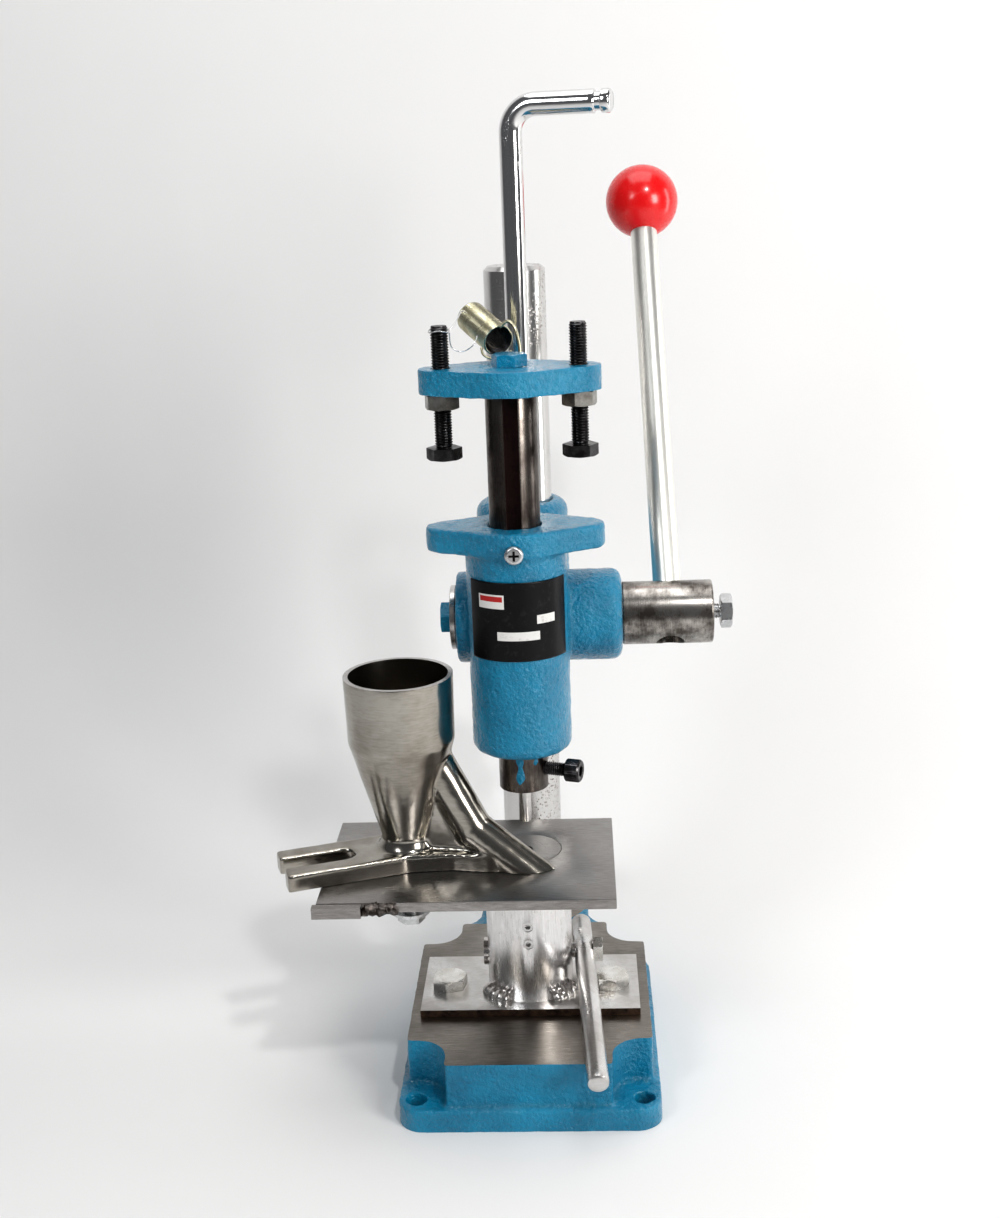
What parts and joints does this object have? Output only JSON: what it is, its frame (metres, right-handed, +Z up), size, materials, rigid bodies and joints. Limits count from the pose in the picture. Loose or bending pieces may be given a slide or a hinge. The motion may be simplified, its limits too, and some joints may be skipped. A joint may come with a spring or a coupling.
{
  "type": "hand tablet press",
  "caption": "Hand tablet press: rack-driven ram on a round column over a die table, with swinging feed shoe, hand ejector and ball-ended handle.",
  "frame": {"origin": "base underside, directly below the ram's axis", "axes": "+X towards the handle, +Y back to the column, +Z up along the ram"},
  "size_m": [0.2638, 0.2916, 0.5518],
  "materials": {
    "blue_enamel": "hammered gloss enamel on cast iron",
    "dark_steel": "dark oiled steel, ground",
    "black_oxide": "black oxide",
    "chrome": "polished",
    "zinc": "bright zinc plate, slightly pitted",
    "yellow_zinc": "yellow zinc plate",
    "red_plastic": "glossy",
    "black_film": "printed film, left blank",
    "stainless": "polished stainless casting",
    "bright_steel": "ground or milled, oiled"
  },
  "bodies": {
    "stand": {"base_casting": "blue_enamel", "column": "bright_steel", "column_set_screws": "black_oxide", "foot_plate": "bright_steel", "foot_plate_bolts": "zinc", "support_tube": "bright_steel", "foot_welds": "bright_steel", "table_plate": "bright_steel", "table_weld": "bright_steel", "stop_tab": "bright_steel", "tab_weld": "bright_steel", "die_holder": "bright_steel", "die_holder_screws": "bright_steel", "die": "bright_steel", "lever_bearing": "bright_steel"},
    "head": {"head_casting": "blue_enamel", "head_clamp_bolts": "zinc", "ram_guide_screw": "chrome", "name_label": "black_film", "rod_set_screw": "black_oxide"},
    "rod": {"spring_rod": "chrome"},
    "ram_group": {"ram": "dark_steel", "upper_punch": "bright_steel", "punch_clamp_screw": "black_oxide", "stop_plate": "blue_enamel", "ram_cap_bolt": "blue_enamel", "stop_bolts": "black_oxide", "stop_nuts": "zinc", "return_spring": "yellow_zinc", "spring_tie_wire": "zinc"},
    "handle": {"pinion_shaft": "bright_steel", "retaining_washer": "bright_steel", "retaining_bolt": "blue_enamel", "handle_rod": "zinc", "ball_knob": "red_plastic", "handle_lock_bolt": "zinc"},
    "shoe": {"feed_shoe": "stainless", "shoe_pivot_bolt": "zinc", "pivot_washer": "zinc", "pivot_spring": "zinc"},
    "ejector": {"ejector_shaft": "bright_steel", "ejector_lever": "bright_steel", "ejector_lever_nut": "zinc"},
    "lower_group": {"lower_punch": "bright_steel", "punch_carrier": "bright_steel", "carrier_nut": "black_oxide", "carrier_spring": "zinc"}
  },
  "joints": [
    {"name": "head_height", "type": "slide", "parent": "stand", "child": "head", "axis": [0, 0, 1], "range_m": [0, 0.04]},
    {"name": "handle_turn", "type": "hinge", "parent": "head", "child": "handle", "pos_m": [0, 0.025, 0.264], "axis": [1, 0, 0], "range_deg": [0, 90]},
    {"name": "ram_slide", "type": "slide", "parent": "head", "child": "ram_group", "axis": [0, 0, -1], "range_m": [0, 0.0236]},
    {"name": "rod_swivel", "type": "hinge", "parent": "head", "child": "rod", "pos_m": [0.0025, 0.066, 0.4], "axis": [0, 0, 1], "range_deg": [-100, 120]},
    {"name": "shoe_swing", "type": "hinge", "parent": "stand", "child": "shoe", "pos_m": [-0.068, -0.012, 0.13], "axis": [0, 0, 1], "range_deg": [-30, 37]},
    {"name": "ejector_lift", "type": "hinge", "parent": "stand", "child": "ejector", "pos_m": [0, 0.005, 0.062], "axis": [-1, 0, 0], "range_deg": [0, 30.5]},
    {"name": "lower_punch_lift", "type": "slide", "parent": "stand", "child": "lower_group", "axis": [0, 0, 1], "range_m": [0, 0.00801], "deforming": ["carrier_spring"]}
  ],
  "couplings": [
    {"joint": "ram_slide", "follows": "handle_turn", "m_per_rad": 0.015},
    {"joint": "lower_punch_lift", "follows": "ejector_lift", "m_per_rad": 0.015}
  ]
}
